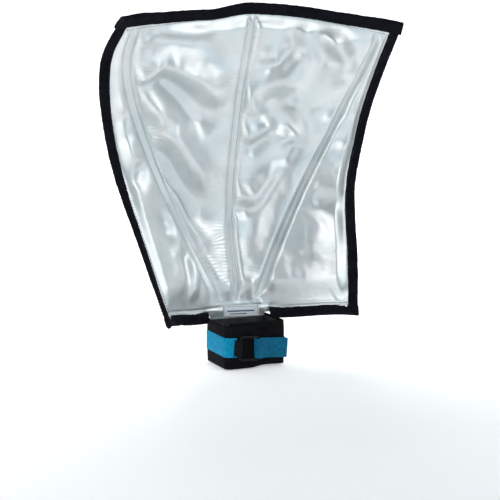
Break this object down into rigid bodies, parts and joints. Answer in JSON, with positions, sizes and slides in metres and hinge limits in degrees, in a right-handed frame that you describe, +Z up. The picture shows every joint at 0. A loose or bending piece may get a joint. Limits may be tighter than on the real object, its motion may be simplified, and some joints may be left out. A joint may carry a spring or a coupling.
{
  "type": "bendable flash snoot",
  "caption": "Bendable silver-faced fabric snoot panel with black edge binding, three inner rods and a belt with blue strap and ring that wraps a flash head.",
  "frame": {"origin": "middle of the mouth that takes the flash head, level with the belt's lower edge", "axes": "+Z up out of the flash along the panel, +Y away from the silver face, +X to the right of a viewer who looks at the silver face"},
  "size_m": [0.3828, 0.1278, 0.453],
  "materials": {
    "silver_fabric": "satin silver coating",
    "black_fabric": "plain woven",
    "edge_binding": "brushed loop tape",
    "rod_cap_rubber": "matte",
    "rod_wire": "annealed, satin",
    "grip_lining": "matte, dimpled",
    "blue_webbing": "woven webbing",
    "black_webbing": "woven webbing",
    "ring_plastic": "moulded, slightly glossy",
    "label_cloth": "printed satin",
    "hook_and_loop": "hook and loop tape",
    "belt_fabric": "padded woven"
  },
  "bodies": {
    "belt": {"grip_lining_back": "grip_lining", "grip_lining_front": "grip_lining", "grip_lining_left": "grip_lining", "grip_lining_right": "grip_lining", "back_pad": "belt_fabric", "left_flap": "belt_fabric", "right_flap": "belt_fabric", "strap": "blue_webbing", "ring_tab": "black_webbing", "buckle_ring": "ring_plastic", "loop_patch": "hook_and_loop"},
    "lower_panel": {"neck_panel": "belt_fabric", "label_patch": "label_cloth", "face_lower": "silver_fabric", "back_lower": "black_fabric", "side_binding_lower_left": "edge_binding", "side_binding_lower_right": "edge_binding", "rod_cap_lower_centre": "rod_cap_rubber", "rod_cap_lower_left": "rod_cap_rubber", "rod_cap_lower_right": "rod_cap_rubber", "rod_lower_centre": "rod_wire", "rod_lower_left": "rod_wire", "rod_lower_right": "rod_wire"},
    "left_corner": {"face_left_corner": "silver_fabric", "back_left_corner": "black_fabric", "bottom_binding_left": "edge_binding", "side_binding_corner_left": "edge_binding"},
    "right_corner": {"face_right_corner": "silver_fabric", "back_right_corner": "black_fabric", "bottom_binding_right": "edge_binding", "side_binding_corner_right": "edge_binding"},
    "middle_panel": {"face_middle": "silver_fabric", "back_middle": "black_fabric", "side_binding_middle_left": "edge_binding", "side_binding_middle_right": "edge_binding", "rod_middle_centre": "rod_wire", "rod_middle_left": "rod_wire", "rod_middle_right": "rod_wire"},
    "top_panel": {"face_top": "silver_fabric", "back_top": "black_fabric", "side_binding_top_left": "edge_binding", "side_binding_top_right": "edge_binding", "top_binding": "edge_binding", "rod_cap_top_centre": "rod_cap_rubber", "rod_cap_top_left": "rod_cap_rubber", "rod_cap_top_right": "rod_cap_rubber", "rod_top_centre": "rod_wire", "rod_top_left": "rod_wire", "rod_top_right": "rod_wire"},
    "strap_tail": {"strap_tail": "blue_webbing", "strap_fold": "blue_webbing", "hook_patch": "hook_and_loop"}
  },
  "joints": [
    {"name": "neck_tilt", "type": "hinge", "parent": "belt", "child": "lower_panel", "pos_m": [0, 0.029, 0.06], "axis": [1, 0, 0], "range_deg": [-60, 60]},
    {"name": "left_corner_fold", "type": "hinge", "parent": "lower_panel", "child": "left_corner", "pos_m": [-0.04415, 0.02086, 0.061], "axis": [-0.6017, -0.0629, 0.7962], "range_deg": [-45, 25]},
    {"name": "right_corner_fold", "type": "hinge", "parent": "lower_panel", "child": "right_corner", "pos_m": [0.04415, 0.02086, 0.061], "axis": [-0.6017, 0.0629, -0.7962], "range_deg": [-45, 25]},
    {"name": "middle_bend", "type": "hinge", "parent": "lower_panel", "child": "middle_panel", "pos_m": [0, 0.014, 0.28052], "axis": [1, 0, 0], "range_deg": [-8, 75]},
    {"name": "top_bend", "type": "hinge", "parent": "middle_panel", "child": "top_panel", "pos_m": [0, -0.003, 0.36676], "axis": [1, 0, 0], "range_deg": [-10, 70]},
    {"name": "strap_tail_peel", "type": "hinge", "parent": "belt", "child": "strap_tail", "pos_m": [0, -0.037, 0.026], "axis": [-0.0732, 0, -0.9973], "range_deg": [0, 110]}
  ]
}
